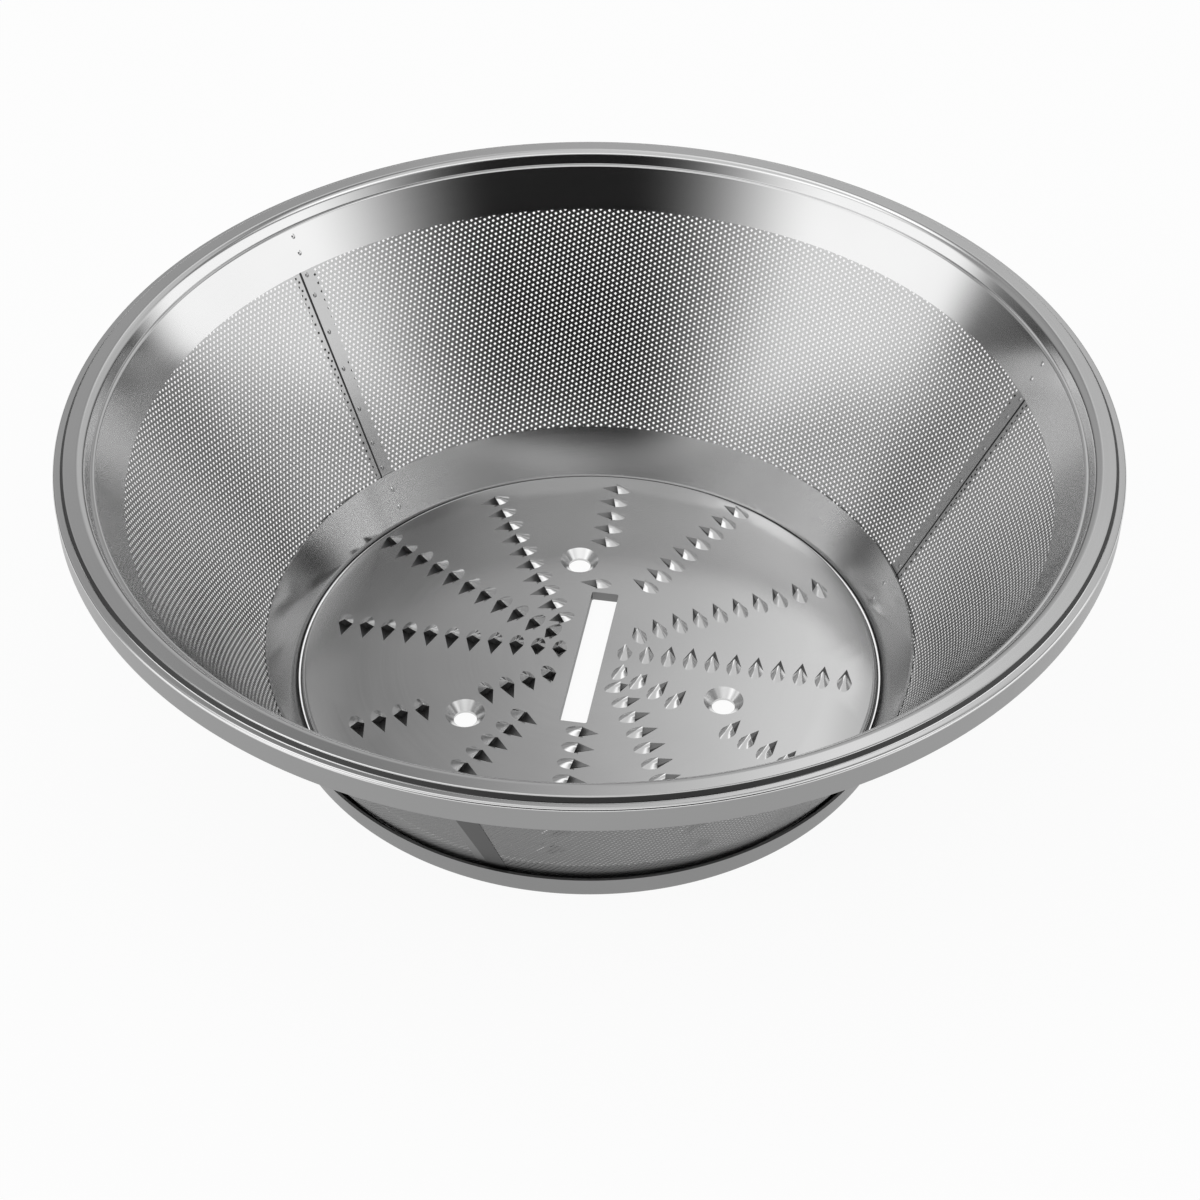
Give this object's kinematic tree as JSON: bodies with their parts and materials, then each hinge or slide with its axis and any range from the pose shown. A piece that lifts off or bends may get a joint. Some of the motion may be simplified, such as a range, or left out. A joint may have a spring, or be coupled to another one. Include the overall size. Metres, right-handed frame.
{
  "type": "juicer mesh screen",
  "caption": "Conical steel filter basket for a juicer, with fine mesh walls, a flat rim, a folded base ring and a thick floor disc with rows of raised grating teeth.",
  "frame": {"origin": "on the basket's axis, at the underside of the floor", "axes": "+Z along the axis up to the rim, -Y towards the viewer of the picture, +X to the viewer's right"},
  "size_m": [0.185, 0.185, 0.0586],
  "materials": {
    "rim_steel": "bright pressed sheet",
    "mesh_steel": "etched bright foil",
    "base_steel": "bright folded sheet",
    "disc_steel": "polished plate"
  },
  "bodies": {
    "root": {"rim_ring": "rim_steel", "mesh_panel_back": "mesh_steel", "mesh_panel_left": "mesh_steel", "mesh_panel_right": "mesh_steel", "base_ring": "base_steel", "grating_disc": "disc_steel"}
  },
  "joints": []
}
